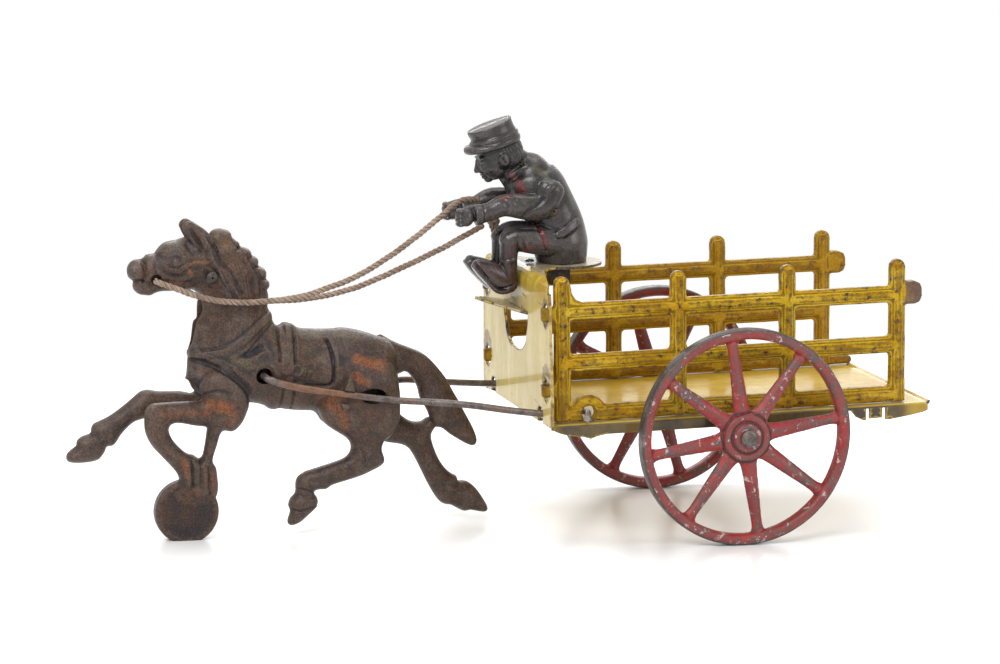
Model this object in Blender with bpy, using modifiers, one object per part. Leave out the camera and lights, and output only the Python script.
"""Horse-drawn stake wagon toy: cast horse in two halves, pressed bed, cast side racks, cast driver.

Forward is -X, the left side of the toy is -Y and the ground is z = 0. Sizes are written in
millimetres and pass through `unit` once, where a mesh or a curve is made.
"""
import math

import bmesh
import bpy
from mathutils import Matrix, Vector

for item in list(bpy.data.objects):
    bpy.data.objects.remove(item, do_unlink=True)

unit = 0.001

# overall layout; the axle stands at x = 0 until everything moves by centre_shift at the end
centre_shift = 75.6
bed_tilt = math.radians(1.61)
fit_gap = 0.3
parting_gap = 0.3
hitch_reach = 157.1

# running gear
wheel_radius = 37.0
wheel_width = 6.2
track_outer = 105.0
rim_depth = 3.3
spoke_count = 8
spoke_root = 5.6
spoke_tip = 3.9
spoke_lean = (math.radians(9.5), math.radians(17.0))
hub_radius = 8.4
boss_radius = 5.0
hub_length = 10.2
hub_proud = 1.2
axle_radius = 2.15
axle_head_radius = 2.9

# pressed bed, in the level frame of the bed
sheet = 0.9
axle_to_floor = 6.3
flange_drop = 3.9
ear_drop = 4.4
bed_half_width = 42.0
bed_front = -65.6
board_height = 44.3
board_flare_low = 1.8
board_flare_high = -0.4
bend_radius = 4.25
seat_back = 16.3
seat_radius = 13.6
neck_half = 12.4
arch_half = 15.4
arch_rise = 33.7
arch_foot = 19.5
tongue_length = 15.3
tongue_rise = math.radians(15.5)
slot_half_width = 4.5
slot_half_height = 4.3
tail_overhang = 9.8
notch_place = 30.0
slit_back = 21.9
notch_width = 5.2
hook_swell = ((-3.0, -0.5), (-0.4, -1.3), (2.2, -0.5), (5.0, 0.0))
tail_edge = ((-10.0, 0.0), (-8.4, 1.4), (-6.9, 2.7), (-6.0, 2.5), (-4.2, 0.3), (-1.7, -0.9), (-0.6, -0.9),
             (-0.6, 3.0), (0.6, 3.0), (0.6, -0.5), (5.3, -0.4), (5.3, 3.0), (6.5, 3.0), (6.5, -1.1),
             (8.6, -1.1), (15.5, -0.2), (19.9, 0.6))

# cast racks, in the level frame of the bed
rack_plane = 37.3
rack_web = 2.6
rack_ridge = 4.2
first_stake = 5.2
bay_widths = (40.8, 38.9, 39.7)
stake_half = 2.75
stake_height = 49.7
rail_heights = (40.5, 23.1, 5.7)
rail_depth = 5.7
moulding_half = 1.1
lug_half = 2.3
window_corner = 1.1
knob_length = 8.6
foot_length = 8.4
foot_height = 3.2
lower_lug_height = 11.3
lug_reach = 1.5
hook_back = 14.0
hook_height = 3.0
hook_hole_radius = 2.5
boss_ring = 3.7

# draught wires and their hold in the horse
wire_radius = 1.2
wire_side = 13.5
wire_pitch = 3.4
hitch_height = 55.7
hitch_hole_radius = 2.8
guide_play = 1.9
guide_rest = 0.1
guide_proud = 0.9
upper_root = 8.6
lower_root = 4.0
upper_guide = ((-1.9, 0.27), (1.9, -0.27), (0.5, 5.2), (-0.2, 5.2))
lower_guide = ((-2.9, 0.41), (-2.0, -2.3), (-1.2, -2.3), (0.6, -0.08))

# castings
cast_wall = 2.7
driver_wall = 2.4
horse_faces = 1270
driver_faces = 850
rivet_radius = 1.2
rivet_head = 2.1
rivet_seat = 7.6
driver_seat = 8.5
driver_reach = 80.0
peg_back = -1.3
peg_radius = 1.9
peg_half = 3.3
peg_depth = 6.4
solder_rows = [(-12.8, 0.8, 0.45, 1.5), (-11.8, 1.0, 0.6, 2.2), (-10.6, 0.85, 0.5, 1.6)]

# reins; the knot's rows are x, z, half width in the side view, half depth
rein_radius = 1.0
rein_pitch = 6.4
knot_rows = [(-77.2, 104.4, 2.2, 1.5), (-75.4, 104.6, 2.5, 1.7), (-73.4, 104.6, 2.2, 1.6)]

floor_top = wheel_radius + axle_to_floor
stake_places = [bed_front + first_stake + sum(bay_widths[:count]) for count in range(len(bay_widths) + 1)]
bed_rear = stake_places[-1] + tail_overhang
rail_tops = [floor_top + height for height in rail_heights]
rack_base = floor_top + fit_gap
stake_top = floor_top + stake_height
board_top = floor_top + board_height
seat_centre = bed_front + seat_back
seat_top = board_top + bend_radius + sheet / 2
slot_levels = (rail_tops[0] - rail_depth / 2 - 0.7, floor_top + lower_lug_height)
hook_hole = (bed_front + hook_back, floor_top + hook_height)
bore_radius = axle_radius + fit_gap

parts = bpy.data.collections.new("stake_wagon_toy")
bpy.context.scene.collection.children.link(parts)


def dress(made, colour, roughness=0.5, metallic=0.0, edge=35):
    """The object's own material and its shading."""
    finish = bpy.data.materials.new(made.name + "_finish")
    finish.use_nodes = True
    shader = finish.node_tree.nodes["Principled BSDF"]
    shader.inputs["Base Color"].default_value = (*colour, 1.0)
    shader.inputs["Roughness"].default_value = roughness
    shader.inputs["Metallic"].default_value = metallic
    made.data.materials.clear()
    made.data.materials.append(finish)
    made.data.shade_smooth()
    made.data.set_sharp_from_angle(angle=math.radians(edge))
    return made


def weld(data):
    work = bmesh.new()
    work.from_mesh(data)
    bmesh.ops.remove_doubles(work, verts=work.verts, dist=1e-6)
    bmesh.ops.dissolve_degenerate(work, edges=work.edges, dist=1e-7)
    bmesh.ops.recalc_face_normals(work, faces=work.faces)
    work.to_mesh(data)
    work.free()
    data.update()


def add(name, data):
    made = bpy.data.objects.new(name, data)
    parts.objects.link(made)
    return made


def drop(*gone):
    for made in gone:
        bpy.data.objects.remove(made, do_unlink=True)


def settle(made):
    """Turns an object's curve and modifiers into plain faces, in place."""
    graph = bpy.context.evaluated_depsgraph_get()
    graph.update()
    data = bpy.data.meshes.new_from_object(made.evaluated_get(graph))
    if made.type == "MESH":
        made.modifiers.clear()
        made.data = data
    else:
        name, place = made.name, made.matrix_world.copy()
        drop(made)
        made = add(name, data)
        made.data.transform(place)
    weld(made.data)
    return made


def combine(target, tool, operation):
    step = target.modifiers.new(operation.lower(), "BOOLEAN")
    step.solver = "EXACT"
    step.operation = operation
    step.object = tool
    settle(target)
    drop(tool)
    return target


def fuse(target, *tools):
    for tool in tools:
        combine(target, tool, "UNION")
    return target


def cut(target, *tools):
    for tool in tools:
        combine(target, tool, "DIFFERENCE")
    return target


def block(name, x0, x1, y0, y1, z0, z1):
    work = bmesh.new()
    size = Matrix.Diagonal((x1 - x0, y1 - y0, z1 - z0, 1 / unit))
    place = Matrix.Translation(Vector((x0 + x1, y0 + y1, z0 + z1)) * unit / 2) @ size * unit
    place[3][3] = 1.0
    bmesh.ops.create_cube(work, size=1.0, matrix=place)
    data = bpy.data.meshes.new(name)
    work.to_mesh(data)
    work.free()
    return add(name, data)


def cylinder(name, centre, radius, low, high, axis, count=20, squash=1.0):
    """A round bar along Y or Z; centre is its pair of the two other axes."""
    work = bmesh.new()
    mid, length = (low + high) / 2, high - low
    spot = (centre[0], mid, centre[1]) if axis == "y" else (centre[0], centre[1], mid)
    turn = Matrix.Rotation(math.radians(90), 4, "X") if axis == "y" else Matrix.Identity(4)
    shape = Matrix.Diagonal((1.0, 1.0, squash, 1.0)) if axis == "y" else Matrix.Identity(4)
    bmesh.ops.create_cone(work, cap_ends=True, segments=count, radius1=radius * unit, radius2=radius * unit,
                          depth=length * unit, matrix=Matrix.Translation(Vector(spot) * unit) @ shape @ turn)
    data = bpy.data.meshes.new(name)
    work.to_mesh(data)
    work.free()
    return add(name, data)


def plate(name, outline, low, high, axis):
    """A flat outline with thickness along one axis; its pairs are the two other axes in order."""
    data = bpy.data.curves.new(name, "CURVE")
    data.dimensions = "2D"
    data.fill_mode = "BOTH"
    data.extrude = (high - low) / 2 * unit
    line = data.splines.new("POLY")
    line.points.add(len(outline) - 1)
    for point, (a, b) in zip(line.points, outline):
        point.co = (a * unit, b * unit, 0.0, 1.0)
    line.use_cyclic_u = True
    made = add(name, data)
    mid = (low + high) / 2 * unit
    stand = {"x": Matrix(((0, 0, 1, mid), (1, 0, 0, 0), (0, 1, 0, 0), (0, 0, 0, 1))),
             "y": Matrix(((1, 0, 0, 0), (0, 0, -1, mid), (0, 1, 0, 0), (0, 0, 0, 1))),
             "z": Matrix.Translation((0, 0, mid))}[axis]
    made.matrix_world = stand
    bpy.context.view_layer.update()
    return settle(made)


def arc(centre, radius, start, end, count, squash=1.0):
    """Points on a round or flattened arc, angles in degrees."""
    turns = [math.radians(start + (end - start) * i / count) for i in range(count + 1)]
    return [(centre[0] + radius * math.cos(t), centre[1] + radius * squash * math.sin(t)) for t in turns]


def rounded(a0, a1, b0, b1, radius, count=2):
    corners = ((a1 - radius, b1 - radius, 0), (a0 + radius, b1 - radius, 90),
               (a0 + radius, b0 + radius, 180), (a1 - radius, b0 + radius, 270))
    return [point for a, b, turn in corners for point in arc((a, b), radius, turn, turn + 90, count)]


def mirrored(side):
    """A closed outline from one half and its mirror image."""
    return list(side) + [(-a, b) for a, b in side[::-1]]


def turned(name, profile, steps):
    """Screw of a profile of (radius, offset along Y) pairs about the Y axis."""
    data = bpy.data.meshes.new(name)
    count = len(profile)
    edges = [(i, i + 1) for i in range(count - 1)]
    if min(r for r, _ in profile) > 0:
        edges.append((count - 1, 0))
    data.from_pydata([(r * unit, t * unit, 0.0) for r, t in profile], edges, [])
    made = add(name, data)
    step = made.modifiers.new("turn", "SCREW")
    step.axis = "Y"
    step.angle = math.tau
    step.steps = steps
    step.render_steps = steps
    step.use_merge_vertices = True
    step.merge_threshold = 1e-6
    return settle(made)


def smooth_route(route, spacing):
    """Points at an even spacing along a smooth curve through the route's own points."""
    spots = [Vector(p) for p in route]
    spots = [2 * spots[0] - spots[1]] + spots + [2 * spots[-1] - spots[-2]]
    fine = []
    for a, b, c, d in zip(spots, spots[1:], spots[2:], spots[3:]):
        for k in range(24):
            t = k / 24
            fine.append(0.5 * (2 * b + (c - a) * t + (2 * a - 5 * b + 4 * c - d) * t * t
                               + (3 * b - a - 3 * c + d) * t ** 3))
    fine.append(spots[-2])
    run = [0.0]
    for a, b in zip(fine, fine[1:]):
        run.append(run[-1] + (b - a).length)
    count = max(2, round(run[-1] / spacing))
    out, i = [], 0
    for k in range(count + 1):
        want = run[-1] * k / count
        while i < len(run) - 2 and run[i + 1] < want:
            i += 1
        share = (want - run[i]) / max(run[i + 1] - run[i], 1e-9)
        out.append(fine[i].lerp(fine[i + 1], min(share, 1.0)))
    return out


def wire(name, route, radius, spacing, sides=2):
    """A round bar bent along a route of (x, y, z) points."""
    data = bpy.data.curves.new(name, "CURVE")
    data.dimensions = "3D"
    data.bevel_depth = radius * unit
    data.bevel_resolution = sides
    data.use_fill_caps = True
    spots = smooth_route(route, spacing)
    line = data.splines.new("POLY")
    line.points.add(len(spots) - 1)
    for point, spot in zip(line.points, spots):
        point.co = (*(spot * unit), 1.0)
    return settle(add(name, data))


def loft(name, stations, y, sides=16, shrink=0.0, dome=1.0):
    """Elliptical rings along a path in the side view: x, z, half width across the path, half depth along Y.

    The ends are domed by their own half width, or flatter with a smaller `dome`.
    """
    places = [Vector((s[0], y, s[1])) for s in stations]
    rings = []
    for i, (_, _, wide, deep) in enumerate(stations):
        ahead = (places[min(i + 1, len(places) - 1)] - places[max(i - 1, 0)]).normalized()
        across = Vector((-ahead.z, 0.0, ahead.x))
        rings.append((places[i], ahead, across, max(wide - shrink, 0.4), max(deep - shrink, 0.4)))
    for end, sign in ((rings[0], -1), (rings[-1], 1)):
        spot, ahead, across, wide, deep = end
        for push, scale in ((0.5, 0.84), (0.82, 0.5)):
            beyond = spot + ahead * sign * min(wide, deep) * push * dome
            ring = (beyond, ahead, across, wide * scale, deep * scale)
            rings.insert(0 if sign < 0 else len(rings), ring)
    points = []
    for spot, _, across, wide, deep in rings:
        turns = [math.tau * k / sides for k in range(sides)]
        points += [(spot + across * wide * math.cos(t) + Vector((0, deep * math.sin(t), 0))) * unit
                   for t in turns]
    faces = [tuple(range(sides)), tuple(range(len(points) - sides, len(points)))]
    for i in range(len(rings) - 1):
        low, high = i * sides, (i + 1) * sides
        faces += [(low + k, low + (k + 1) % sides, high + (k + 1) % sides, high + k) for k in range(sides)]
    data = bpy.data.meshes.new(name)
    data.from_pydata(points, [], faces)
    weld(data)
    return add(name, data)


def cast(name, forms, voxel, soft, target):
    """One skin over a heap of forms, smoothed and thinned to about `target` triangles."""
    work = bmesh.new()
    for form in forms:
        work.from_mesh(form.data)
    data = bpy.data.meshes.new(name)
    work.to_mesh(data)
    work.free()
    drop(*forms)
    made = add(name, data)
    step = made.modifiers.new("skin", "REMESH")
    step.mode = "VOXEL"
    step.voxel_size = voxel * unit
    if soft:
        step = made.modifiers.new("soften", "SMOOTH")
        step.factor = 0.5
        step.iterations = soft
    settle(made)
    triangles = sum(len(face.vertices) - 2 for face in made.data.polygons)
    step = made.modifiers.new("thin", "DECIMATE")
    step.ratio = min(1.0, target / triangles)
    return settle(made)


# horse: x behind the hitch, z above the ground, half width in the side view, half depth
trunk_rows = [(-20.2, 58.3, 7.2, 4.8), (-16.5, 60.0, 11.8, 7.6), (-10.9, 60.0, 15.5, 9.6),
              (-1.9, 59.5, 15.6, 10.8), (7.1, 56.5, 15.5, 11.2), (16.1, 56.0, 15.0, 11.2),
              (25.1, 55.2, 15.6, 11.2), (33.1, 53.4, 16.8, 11.2), (38.5, 51.2, 16.4, 10.6),
              (42.0, 51.2, 13.8, 7.8)]
neck_rows = [(-8.4, 64.0, 16.2, 9.5), (-9.6, 72.5, 13.7, 9.0), (-9.0, 80.0, 12.1, 8.6),
             (-9.9, 87.0, 11.0, 8.0), (-11.9, 93.5, 9.8, 7.2), (-15.4, 98.0, 7.0, 5.6)]
head_rows = [(-15.9, 93.0, 9.0, 6.6), (-22.9, 93.0, 9.2, 7.2), (-28.4, 92.6, 8.7, 7.2),
             (-33.2, 91.2, 7.4, 6.2), (-37.2, 89.6, 6.2, 5.4), (-40.3, 89.1, 5.0, 4.9),
             (-41.7, 89.3, 3.9, 4.2)]
lip_rows = [(-34.0, 86.6, 3.6, 4.0), (-38.6, 85.4, 3.4, 4.0), (-41.3, 86.2, 2.4, 3.2)]
ear_rows = [(-21.3, 101.0, 3.4, 2.2), (-23.7, 104.2, 2.6, 1.7), (-25.5, 106.4, 1.2, 1.0)]
mane_rows = [(-16.9, 101.6, 2.6, 3.6), (-12.2, 102.0, 2.8, 3.8), (-7.9, 99.0, 2.6, 3.8),
             (-4.4, 95.0, 3.0, 3.8), (-1.7, 91.0, 2.6, 3.8), (0.2, 86.5, 3.0, 3.8),
             (0.7, 81.0, 2.6, 3.8), (1.5, 76.0, 2.4, 3.6)]
near_fore_rows = [(-8.9, 52.0, 10.4, 4.6), (-13.4, 43.6, 6.8, 4.4), (-21.4, 43.2, 4.9, 4.0),
                  (-29.4, 43.7, 4.1, 3.6), (-34.5, 42.6, 5.0, 3.7), (-35.9, 38.6, 4.7, 3.7),
                  (-34.3, 34.4, 4.3, 3.4), (-30.8, 30.8, 4.0, 3.2), (-26.5, 26.8, 4.6, 3.4),
                  (-22.5, 22.6, 5.8, 3.8), (-21.8, 17.6, 7.0, 3.4), (-21.8, 14.0, 6.8, 2.6)]
strut_rows = [(-14.5, 41.0, 3.2, 2.6), (-16.3, 35.0, 2.3, 2.2), (-18.5, 28.0, 2.3, 2.2),
              (-18.9, 23.0, 3.0, 2.6)]
far_fore_rows = [(-10.9, 52.0, 9.9, 4.6), (-21.9, 45.3, 5.2, 4.2), (-30.4, 44.7, 4.6, 3.8),
                 (-36.9, 44.2, 5.3, 3.8), (-43.7, 40.8, 4.3, 3.6), (-48.5, 37.0, 4.0, 3.3),
                 (-53.2, 33.0, 4.1, 3.3), (-56.5, 29.9, 4.9, 3.8), (-60.1, 28.0, 3.6, 3.2),
                 (-62.3, 27.2, 2.3, 2.4)]
near_hind_rows = [(37.6, 52.0, 10.9, 5.2), (37.6, 43.0, 10.8, 5.2), (37.9, 36.5, 9.0, 4.8),
                  (37.6, 31.5, 6.2, 4.4), (37.0, 26.6, 6.6, 4.2), (29.6, 22.3, 4.6, 3.7),
                  (23.9, 20.7, 4.1, 3.4), (18.5, 18.9, 4.2, 3.4), (15.3, 16.4, 4.5, 3.5),
                  (15.2, 13.0, 4.4, 3.5), (14.1, 9.6, 5.3, 4.0), (11.4, 6.0, 3.0, 3.2)]
far_hind_rows = [(41.1, 45.0, 9.0, 5.0), (48.6, 33.6, 6.1, 4.6), (55.9, 31.2, 5.6, 4.4),
                 (59.6, 26.8, 5.1, 4.2), (61.7, 21.4, 4.4, 3.6), (64.5, 16.4, 4.2, 3.5),
                 (67.7, 11.9, 5.2, 3.7), (71.7, 10.0, 4.9, 3.7), (76.7, 7.6, 4.3, 4.0),
                 (79.7, 5.4, 2.7, 3.2)]
tail_rows = [(45.1, 60.0, 5.0, 4.5), (52.4, 57.6, 4.3, 3.8), (56.8, 55.3, 4.4, 3.8),
             (59.7, 51.8, 5.6, 3.9), (62.4, 47.0, 6.2, 4.0), (65.1, 42.0, 6.9, 4.0),
             (67.5, 37.6, 6.0, 3.9), (71.3, 33.6, 4.8, 3.4), (74.8, 29.6, 2.8, 2.4),
             (76.1, 28.2, 1.4, 1.4)]
elbow_rows = [(-9.5, 47.0, 5.0, 4.2), (-11.3, 42.6, 5.2, 4.4), (-12.6, 39.8, 3.6, 3.8)]
flank_rows = [(23.5, 48.5, 8.0, 6.0), (29.5, 44.0, 7.7, 5.5), (33.5, 38.8, 6.3, 5.0)]
torso_rows = [(-0.3, 2.5, 9.0, 9.6), (-0.8, 7.0, 9.6, 10.4), (-1.4, 12.6, 8.8, 9.2),
              (-4.3, 18.6, 9.2, 9.0), (-8.1, 24.2, 10.2, 10.2), (-11.4, 29.1, 9.6, 9.6),
              (-12.8, 32.5, 7.4, 7.2), (-15.2, 35.3, 4.2, 4.2)]
head_form = [(-18.2, 32.5, 4.6, 4.2), (-20.6, 36.2, 8.2, 6.2), (-21.9, 39.7, 9.2, 6.9),
             (-22.8, 42.6, 8.8, 6.9)]
jaw_rows = [(-23.8, 38.5, 6.8, 5.8), (-24.4, 34.6, 5.2, 5.0), (-24.9, 31.7, 3.3, 3.8)]
cap_rows = [(-23.1, 41.6, 8.7, 7.6), (-23.9, 44.3, 8.7, 7.4), (-24.0, 44.9, 8.0, 6.9),
            (-25.5, 47.9, 7.7, 6.6)]
peak_spot = (-26.4, 41.7)
peak_half = 6.0
peak_fall = math.radians(-20)
thigh_rows = [(-2.0, 8.0, 6.0, 5.0), (-9.9, 8.6, 5.3, 4.7), (-16.4, 9.6, 4.8, 4.3),
              (-19.9, 8.9, 4.0, 3.9)]
shin_rows = [(-19.7, 9.1, 3.8, 3.8), (-20.4, 4.1, 3.0, 3.3), (-20.6, -0.9, 3.0, 3.2),
             (-21.3, -4.9, 3.6, 3.3)]
shoe_rows = [(-21.1, -5.3, 3.6, 3.3), (-24.5, -3.8, 4.3, 3.5), (-28.2, -1.3, 3.5, 3.5),
             (-31.0, 0.6, 2.2, 3.0)]
arm_rows = [(-6.4, 26.7, 5.2, 3.6), (-8.6, 21.8, 5.0, 3.6), (-13.1, 20.5, 4.6, 3.6),
            (-22.2, 21.7, 3.9, 3.4), (-27.8, 19.7, 3.0, 3.0), (-32.9, 18.6, 3.3, 3.2),
            (-36.3, 18.4, 3.4, 3.4)]
leg_place = 6.4
ear_place = 3.4
flank_place = 5.0
tail_place = 4.3
disc_radius = 10.9
disc_back = -25.6
disc_sink = 1.3
disc_near = 2.6
disc_width = 5.6
disc_dish = 0.9
disc_rim = 1.7
disc_edge = 0.8
neck_rivet = (-17.5, 89.2)
bit_hole = (-35.8, 88.6)
flank_slot = (37.3, 48.0)
guide_place = 28.6
thigh_place = 5.2
arm_place = 9.0
driver_rivet = (-5.6, 18.8)


def horse_half(name, sign):
    """The left half carries the legs that meet the ground, the right half the others and the tail."""
    forms = [loft("trunk", trunk_rows, 0, 24), loft("neck", neck_rows, 0, 20),
             loft("head", head_rows, 0, 20), loft("mane", mane_rows, 0, 12),
             loft("ear", ear_rows, sign * ear_place, 10), loft("lip", lip_rows, 0, 12),
             loft("flank", flank_rows, sign * flank_place, 14)]
    place = sign * leg_place
    if sign < 0:
        forms += [loft("fore", near_fore_rows, place, 14), loft("strut", strut_rows, place, 10),
                  loft("elbow", elbow_rows, place, 14), loft("hind", near_hind_rows, place, 14)]
    else:
        forms += [loft("fore", far_fore_rows, place, 14), loft("hind", far_hind_rows, place, 14),
                  loft("tail", tail_rows, tail_place, 14)]
    made = cast(name, forms, 0.85, 5, horse_faces)
    core = [loft("core", rows, 0, 16, cast_wall) for rows in (trunk_rows, neck_rows)]
    cut(made, cast("hollow", core, 1.6, 0, 300))
    if sign < 0:
        round_off, dish = disc_radius - disc_edge, disc_radius - disc_rim
        face = [(0.0, disc_dish), (dish - 0.3, disc_dish), (dish, 0.0), (round_off, 0.0),
                (disc_radius, disc_edge)]
        foot = turned("foot", face + [(r, disc_width - t) for r, t in face[::-1]], 32)
        foot.data.transform(Matrix.Translation(
            Vector((disc_back, -disc_near - disc_width, disc_radius - disc_sink)) * unit))
        fuse(made, foot)
        cut(made, block("ground", -90, 120, -30, 30, -30, 0))
    edge = parting_gap / 2
    low, high = (-edge, 60) if sign < 0 else (-60, edge)
    holes = [block("parting", -120, 120, low, high, -20, 160),
             cylinder("hitch", (0, hitch_height), hitch_hole_radius, -20, 20, "y"),
             cylinder("flank", flank_slot, 4.6, -20, 20, "y", 20, 0.58),
             cylinder("bit", bit_hole, 1.6, -20, 20, "y", 12),
             cylinder("rivet", neck_rivet, rivet_radius + fit_gap, -20, 20, "y", 12)]
    low, high = sorted((sign * rivet_seat, sign * 20))
    holes.append(cylinder("rivet_seat", neck_rivet, rivet_head + fit_gap, low, high, "y", 14))
    cut(made, *holes)
    # the two lugs that trap the draught wire: the horse rests with the upper one on it
    above = wire_line(guide_place) + wire_radius + guide_rest
    below = wire_line(guide_place) - wire_radius - guide_play
    tip = wire_side + guide_proud
    upper = [(guide_place + a, above + b) for a, b in upper_guide]
    lower = [(guide_place + a, below + b) for a, b in lower_guide]
    fuse(made, plate("upper_guide", upper, *sorted((sign * upper_root, sign * tip)), "y"),
         plate("lower_guide", lower, *sorted((sign * lower_root, sign * tip)), "y"))
    made.data.transform(Matrix.Translation(Vector((0, 0, -hitch_height)) * unit))
    made.location = Vector((-hitch_reach, 0, hitch_height)) * unit
    return dress(made, (0.07, 0.05, 0.045), 0.55, 0.6, 60)


def wire_line(back):
    """Height of the draught wire's centre line beside the horse, `back` behind the hitch."""
    return hitch_height - 1.1 - 0.238 * back + 0.00144 * back * back


def rivet(name, x, z, reach, radius, head):
    end = [(0.0, reach + 1.2), (head * 0.7, reach + 0.9), (head, reach), (radius, reach)]
    made = turned(name, end + [(r, -t) for r, t in end[::-1]], 12)
    made.location = Vector((x, 0, z)) * unit
    return dress(made, (0.2, 0.13, 0.1), 0.5, 0.8)


def pressed_bed():
    """One sheet: the floor with its side flanges, the front board, the footrest tongue and the seat."""
    wide, low, half, rear = bed_half_width, floor_top - flange_drop, sheet / 2, bed_rear
    foot = wheel_radius - ear_drop
    flange = [(wide - 1.2, floor_top - sheet), (wide - sheet, floor_top - 1.2), (wide - sheet, foot),
              (wide, foot), (wide, floor_top - 0.8), (wide - 0.8, floor_top)]
    made = plate("wagon_bed", mirrored(flange), bed_front, rear, "x")
    # the flanges' lower margin: a swell at each hook, an ear at each end of the axle, two slits behind
    hook, slit = hook_hole[0], rear - slit_back
    ear = [(-6.5, low), (-4.6, wheel_radius - 2.4), (-2.4, foot), (-2.4, foot - 1)]
    margin = [(bed_front - 5, foot - 5), (bed_front - 5, floor_top - 1.6),
              (bed_front + 0.4, floor_top - 1.6), (bed_front + 3.2, low + 1.0), (bed_front + 6.8, low)]
    margin += [(hook + a, low + b) for a, b in hook_swell] + mirrored(ear)
    margin += [(slit + a, low + b) for a, b in tail_edge]
    margin += [(rear + 5, low + 2.9), (rear + 5, foot - 5)]
    cut(made, plate("margin", margin, -wide - 5, wide + 5, "y"),
        cylinder("axle_hole", (0.0, wheel_radius), axle_radius + fit_gap, -wide - 5, wide + 5, "y"))
    low_half, high_half = wide + board_flare_low, wide + board_flare_high
    outline = mirrored([(low_half, floor_top - sheet + 0.1), (low_half, floor_top + 7),
                        (high_half, board_top - 3), (high_half - 0.6, board_top)])
    arch_top, bottom = floor_top + arch_rise, floor_top + arch_foot
    spring = bottom + (arch_top - bottom) * 0.52
    bow = arch_half - 2.0
    holes = [arc((0.0, spring), bow, 180, 360, 14, (spring - bottom) / bow)
             + [(arch_half - 0.8, arch_top - 4.4), (arch_half, arch_top), (-arch_half, arch_top),
                (-arch_half + 0.8, arch_top - 4.4)]]
    lens = ((0, 1), (-0.58, 0.6), (-1, 0), (-0.58, -0.6), (0, -1), (0.58, -0.6), (1, 0), (0.58, 0.6))
    holes += [[(sign * rack_plane + a * slot_half_width, level + b * slot_half_height) for a, b in lens]
              for sign in (-1, 1) for level in slot_levels]
    fuse(made, plate("board", outline, bed_front - half, bed_front + half, "x"))
    cut(made, *[plate("opening", hole, bed_front - 3, bed_front + 3, "x") for hole in holes])
    gap, top = notch_width / 2, floor_top + hook_height + 1.6
    notch = mirrored([(gap, low - 2), (gap, top - 1.4), (gap * 0.5, top)])
    for sign in (-1, 1):
        place = [(sign * notch_place + y, z) for y, z in notch]
        cut(made, plate("notch", place, bed_front - 3, bed_front + 1.8, "x"))
    # the board's top bends back to the seat and narrows from the shoulders to the neck
    centre, back = (bed_front + bend_radius, board_top), seat_centre + seat_radius + 2
    bend = [(bed_front - half + 0.1, board_top - 0.6)] + arc(centre, bend_radius + half, 180, 90, 7)
    bend += [(back, seat_top), (back, seat_top - sheet)] + arc(centre, bend_radius - half, 90, 180, 7)
    bend.append((bed_front + half - 0.1, board_top - 0.6))
    seat = plate("seat", bend, -high_half + 0.6, high_half - 0.6, "y")
    taper = ((-2.0, 1.0), (0.3, 0.92), (1.6, 0.68), (3.2, 0.42), (5.0, 0.2), (7.5, 0.05))
    plan = [(bed_front + reach, neck_half + (high_half - neck_half) * share) for reach, share in taper[::-1]]
    plan += [(x, -y) for x, y in plan[::-1]]
    turn = math.degrees(math.asin(neck_half / seat_radius))
    plan += arc((seat_centre, 0.0), seat_radius, turn - 180, 180 - turn, 32)
    combine(seat, plate("plan", plan, board_top - 5, seat_top + 5, "z"), "INTERSECT")
    fuse(made, seat)
    tip = [(0.0, 0.97), (0.16, 0.92), (0.45, 0.71), (0.7, 0.43), (0.9, 0.2), (1.0, 0.0)]
    tongue = [(0.5, arch_half * 0.97)] + [(-a * tongue_length, b * arch_half) for a, b in tip]
    tongue = plate("tongue", tongue + [(x, -y) for x, y in tongue[-2::-1]], -half, half, "z")
    tongue.data.transform(Matrix.Translation(Vector((bed_front, 0, arch_top + 0.2)) * unit)
                          @ Matrix.Rotation(tongue_rise, 4, "Y"))
    lip = [(rear - 0.1, floor_top - sheet + 0.1), (rear + 0.9, floor_top - 0.6),
           (rear + 1.2, floor_top + 0.5), (rear + 0.6, floor_top + 0.6), (rear - 0.1, floor_top - 0.1)]
    fuse(made, tongue, plate("lip", lip, -wide + 0.8, wide - 0.8, "y"))
    peg_spot, hole = (seat_centre + peg_back, 0.0), peg_radius + fit_gap
    cut(made, cylinder("peg_hole", peg_spot, hole, seat_top - 4, seat_top + 2, "z"))
    return dress(made, (0.75, 0.58, 0.18), 0.3)


def bar(start, end, thick):
    """A proud moulding on both faces of the rack, its sides sloped."""
    low, web, half = moulding_half + 0.8, rack_web / 2 - 0.2, thick / 2
    section = [(-low, -web), (-moulding_half, -half), (moulding_half, -half), (low, -web),
               (low, web), (moulding_half, half), (-moulding_half, half), (-low, web)]
    (ax, az), (bx, bz) = start, end
    made = plate("bar", section, 0.0, math.hypot(bx - ax, bz - az), "z")
    turn = Matrix.Rotation(math.radians(90), 4, "Y") if bx > ax else Matrix.Identity(4)
    made.data.transform(Matrix.Translation(Vector((ax, 0, az)) * unit) @ turn)
    return made


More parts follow.
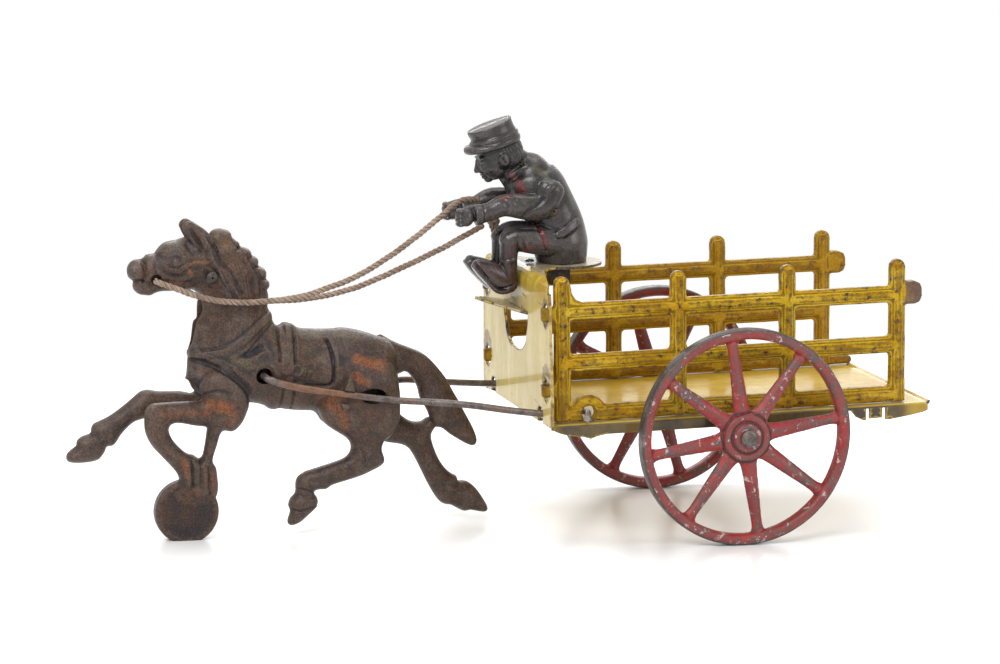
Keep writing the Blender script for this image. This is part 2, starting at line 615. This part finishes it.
def rack(name, sign):
    """A cast fence: a thin web with rounded windows, proud mouldings, stake tips, an end knob and lugs."""
    left, right, half = stake_places[0], stake_places[-1], rack_web / 2
    front, corner = left - stake_half, rail_tops[0]
    reach = bed_front - sheet / 2 - lug_reach
    edge = [(front, rack_base)]
    for level in sorted(slot_levels):
        edge += [(front, level - lug_half), (reach, level - lug_half),
                 (reach, level + lug_half), (front, level + lug_half)]
    for place in stake_places:
        root = place + stake_half
        if place > left:
            edge.append((place - stake_half, corner))
        edge += arc((place, stake_top - stake_half), stake_half, 180, 0, 6)
        if place == left:
            edge += [(root, corner + 6.8), (root + 0.6, corner + 3.2), (root + 2.0, corner + 1.1),
                     (root + 4.6, corner)]
        elif place < right:
            edge.append((root, corner))
    edge.append((right + stake_half, rack_base))
    made = plate(name, edge, -half, half, "y")
    if sign > 0:
        foot_end = right + stake_half + foot_length
        foot = rounded(right, foot_end, rack_base + 0.2, rack_base + foot_height, 1.2)
        fuse(made, plate("foot", foot, -half - 0.2, half + 0.2, "y"))
    windows = [rounded(a + stake_half, b - stake_half, below, above - rail_depth, window_corner)
               for a, b in zip(stake_places, stake_places[1:])
               for above, below in zip(rail_tops, rail_tops[1:])]
    cut(made, *[plate("window", window, -9, 9, "y") for window in windows])
    for level in rail_tops:
        fuse(made, bar((left, level - rail_depth / 2), (right, level - rail_depth / 2), rack_ridge - 0.2))
    for place in stake_places:
        fuse(made, bar((place, rack_base + 0.1), (place, stake_top - 1.6), rack_ridge))
    ring = hook_hole_radius + boss_ring
    boss = arc(hook_hole, ring, 0, 180, 10)
    boss += [(hook_hole[0] - ring, rack_base + 0.1), (hook_hole[0] + ring, rack_base + 0.1)]
    knob = rounded(right + 1.0, right + knob_length, corner - rail_depth - 0.8, corner + 1.4, 2.6)
    fuse(made, plate("boss", boss, -half - 0.3, half + 0.3, "y"),
         plate("knob", knob, -half - 0.6, half + 0.6, "y"))
    cut(made, cylinder("hole", hook_hole, hook_hole_radius, -9, 9, "y", 14))
    made.data.transform(Matrix.Translation(Vector((0, sign * rack_plane, 0)) * unit))
    return dress(made, (0.6, 0.36, 0.06), 0.5)


def spoke(turn):
    """A tapered bar of lozenge section from the hub to the rim, flared where it meets them."""
    along = Vector((-math.sin(turn), 0, math.cos(turn)))
    across = Vector((math.cos(turn), 0, math.sin(turn)))
    middle, inner = Vector((0, wheel_width / 2, 0)), wheel_radius - rim_depth
    rings = ((hub_radius - 1.8, spoke_root / 2 + 0.5, 1.9), (hub_radius + 2.6, spoke_root / 2, 1.8),
             (inner - 5.0, spoke_tip / 2, 1.5), (inner + 0.9, spoke_tip / 2 + 1.5, 1.5))
    section = ((-1, 0), (-0.45, -1), (0.45, -1), (1, 0), (0.45, 1), (-0.45, 1))
    points = [(along * reach + middle + across * wide * a + Vector((0, deep * t, 0))) * unit
              for reach, wide, deep in rings for a, t in section]
    faces = [tuple(range(6)), tuple(range(18, 24))]
    faces += [(r * 6 + i, r * 6 + (i + 1) % 6, r * 6 + 6 + (i + 1) % 6, r * 6 + 6 + i)
              for r in range(3) for i in range(6)]
    data = bpy.data.meshes.new("spoke")
    data.from_pydata(points, [], faces)
    weld(data)
    return add("spoke", data)


def wheel(name, sign, lean):
    """A cast wheel about its own axle line, its outer face at y = 0 before it is set on the axle."""
    inner, wide = wheel_radius - rim_depth, wheel_width
    rim = [(inner - 0.4, 1.7), (inner + 0.5, 0.3), (wheel_radius - 0.5, 0.0), (wheel_radius, 0.5)]
    made = turned(name, rim + [(r, wide - t) for r, t in rim[::-1]], 36)
    back = hub_length - hub_proud
    hub = turned("hub", [(bore_radius, -hub_proud), (bore_radius, back), (boss_radius, back),
                         (boss_radius, wide), (hub_radius - 1.4, wide - 0.6), (hub_radius, wide - 1.6),
                         (hub_radius, 0.6), (hub_radius - 1.0, 0.0), (boss_radius + 1.2, 0.6),
                         (boss_radius, 0.4), (boss_radius, -hub_proud + 0.5),
                         (boss_radius - 0.5, -hub_proud)], 16)
    fuse(made, hub, *[spoke(lean + math.tau * k / spoke_count) for k in range(spoke_count)])
    if sign > 0:
        made.data.transform(Matrix.Diagonal((1, -1, 1, 1)))
        weld(made.data)
    made.location = Vector((0, sign * track_outer / 2, wheel_radius)) * unit
    return dress(made, (0.4, 0.05, 0.04), 0.5, 0.1)


def driver_half(name, sign):
    """Seated figure split front to back down the middle; its rows are measured from the seat's centre."""
    thigh, arm = sign * thigh_place, sign * arm_place
    forms = [loft("torso", torso_rows, 0, 20), loft("head", head_form, 0, 18), loft("jaw", jaw_rows, 0, 16),
             loft("cap", cap_rows, 0, 20, 0.0, 0.15), loft("arm", arm_rows, arm, 12)]
    forms += [loft("leg", rows, thigh, 12) for rows in (thigh_rows, shin_rows, shoe_rows)]
    front = arc((-2.4, 0.0), peak_half, 90, 270, 8)
    peak = plate("peak", front + [(3.0, -peak_half), (3.0, peak_half)], -0.8, 0.8, "z")
    peak.data.transform(Matrix.Translation(Vector((peak_spot[0], 0, peak_spot[1])) * unit)
                        @ Matrix.Rotation(peak_fall, 4, "Y"))
    made = cast(name, forms + [peak], 0.7, 3, driver_faces)
    edge, away = parting_gap / 2, driver_reach
    low, high = (-edge, away) if sign < 0 else (-away, edge)
    near, out = sorted((sign * driver_seat, sign * away))
    cut(made, loft("hollow", torso_rows[:6], 0, 14, driver_wall),
        block("parting", -away, away, low, high, -away, away),
        block("sit", bed_front - seat_centre - 1.4, away, -away, away, -away, fit_gap),
        cylinder("rivet", driver_rivet, rivet_radius + fit_gap, -away, away, "y", 12),
        cylinder("rivet_seat", driver_rivet, rivet_head + fit_gap, near, out, "y", 14),
        cylinder("peg", (peg_back, 0.0), peg_radius + fit_gap, -1, 5, "z", 16))
    made.location = Vector((seat_centre, 0, seat_top)) * unit
    return dress(made, (0.09, 0.08, 0.08), 0.45, 0.7, 60)


def draught_wire(name, sign, lift, swells):
    """From the hook in the horse's flank, back through the board's notch, to the hook in the rack."""
    c, s = math.cos(bed_tilt), math.sin(bed_tilt)

    def ground(x, y, z):
        return x * c - (z - wheel_radius) * s, y, wheel_radius + x * s + (z - wheel_radius) * c

    hx, hook_z = -hitch_reach, hook_hole[1] - 0.5
    route = [(hx, sign * 6.4, hitch_height), (hx, sign * 10.6, hitch_height),
             (hx + 1.6, sign * (wire_side - 0.5), hitch_height - 0.9)]
    for back in (8.4, 18.0, guide_place, 37.7, 46.0):
        past = max(0.0, back - guide_place)
        route.append((hx + back, sign * (wire_side + past * 0.055), wire_line(back) + lift * past / 17))
    end = ground(bed_front - 1.0, sign * (notch_place - 0.2), hook_z - 0.3)
    start = route[-1]
    for share, swell in zip((0.22, 0.5, 0.76), swells):
        x, y, z = (a + (b - a) * share for a, b in zip(start, end))
        route.append((x, y, z + swell))
    hole_x, face = hook_hole[0], rack_plane + rack_ridge / 2
    route += [end, ground(bed_front + 4.0, sign * (notch_place + 1.2), hook_z - 0.3),
              ground(hole_x - 3.4, sign * (rack_plane - 5.6), hook_z + 0.3),
              ground(hole_x - 0.2, sign * (rack_plane - 2.4), hook_z + 0.5),
              ground(hole_x - 0.4, sign * (face - 0.4), hook_z),
              ground(hole_x - 1.7, sign * (face + 2.6), hook_z - 0.7)]
    return dress(wire(name, route, wire_radius, wire_pitch), (0.12, 0.1, 0.1), 0.45, 0.9)


left_line = [(-193.6, -5.2, 88.4), (-191.0, -7.0, 87.3), (-185.5, -9.0, 85.4), (-178.9, -9.6, 83.0),
             (-168.9, -10.4, 81.2), (-158.0, -10.4, 81.1), (-144.9, -9.6, 82.3), (-134.5, -8.8, 85.2),
             (-124.0, -8.0, 89.1), (-110.0, -6.6, 97.2), (-95.8, -4.6, 107.4), (-91.0, -3.4, 111.2),
             (-86.2, -2.2, 113.2), (-81.0, -1.3, 112.9)]
right_line = [(-193.6, 5.2, 88.2), (-190.6, 7.0, 86.6), (-182.4, 9.2, 83.4), (-175.4, 9.8, 80.2),
              (-164.9, 10.4, 78.1), (-153.9, 10.4, 78.0), (-140.8, 9.6, 78.4), (-130.5, 8.6, 80.0),
              (-120.2, 7.6, 82.9), (-106.4, 5.6, 89.0), (-92.9, 3.0, 95.8), (-85.0, 1.4, 100.4),
              (-78.8, 0.6, 103.9)]


def build():
    wagon = add("bed_frame", None)
    hitch = add("hitch_axis", None)
    hitch.location = Vector((-hitch_reach, 0, hitch_height)) * unit

    cast_pieces = [horse_half("horse_left_half", -1), horse_half("horse_right_half", 1)]
    cast_pieces.append(rivet("horse_neck_rivet", neck_rivet[0] - hitch_reach, neck_rivet[1],
                             rivet_seat + fit_gap, rivet_radius, rivet_head))
    wheel("left_wheel", -1, spoke_lean[0])
    wheel("right_wheel", 1, spoke_lean[1])
    end = track_outer / 2 + hub_proud + fit_gap
    tip = [(0.0, end + 1.3), (axle_head_radius * 0.6, end + 1.2), (axle_head_radius, end + 0.5),
           (axle_head_radius, end), (axle_radius, end)]
    axle = turned("axle", tip + [(r, -t) for r, t in tip[::-1]], 16)
    axle.location = (0, 0, wheel_radius * unit)
    dress(axle, (0.25, 0.22, 0.2), 0.5, 0.9)

    seated = [pressed_bed(), rack("left_rack", -1), rack("right_rack", 1),
              driver_half("driver_left_half", -1), driver_half("driver_right_half", 1)]
    seated.append(rivet("driver_rivet", seat_centre + driver_rivet[0], seat_top + driver_rivet[1],
                        driver_seat + fit_gap, rivet_radius, rivet_head - 0.2))
    under = seat_top - sheet - fit_gap
    peg_x = seat_centre + peg_back
    peg = block("seat_peg", peg_x - peg_half, peg_x + peg_half, -3.0, 3.0, under - peg_depth, under)
    fuse(peg, cylinder("shank", (peg_x, 0.0), peg_radius, under - 1, seat_top + 4.0, "z", 14))
    seated.append(dress(peg, (0.05, 0.045, 0.045), 0.6, 0.6))
    lump = loft("seat_solder", solder_rows, 0, 12)
    lump.data.transform(Matrix.Translation(Vector((seat_centre, 0, seat_top)) * unit))
    seated.append(dress(lump, (0.6, 0.6, 0.6), 0.4, 0.9))

    draught_wire("left_shaft", -1, 0.0, (0.45, 0.65, 0.15))
    draught_wire("right_shaft", 1, 1.5, (0.9, 0.4, 0.1))
    dress(wire("left_rein", left_line, rein_radius, rein_pitch), (0.3, 0.22, 0.17), 0.9)
    dress(wire("right_rein", right_line, rein_radius, rein_pitch), (0.25, 0.21, 0.17), 0.9)
    dress(loft("rein_knot", knot_rows, 0, 12), (0.55, 0.5, 0.4), 0.9)

    for made in seated:
        made.parent = wagon
    for made in cast_pieces:
        made.location -= hitch.location
        made.parent = hitch
    lift = Vector((0, 0, wheel_radius)) * unit
    tilt = Matrix.Rotation(-bed_tilt, 4, "Y")
    wagon.matrix_world = Matrix.Translation(lift) @ tilt @ Matrix.Translation(-lift)
    aside = Matrix.Translation(Vector((centre_shift, 0, 0)) * unit)
    for made in parts.objects:
        if made.parent is None:
            made.matrix_world = aside @ made.matrix_world
    bpy.context.view_layer.update()


build()
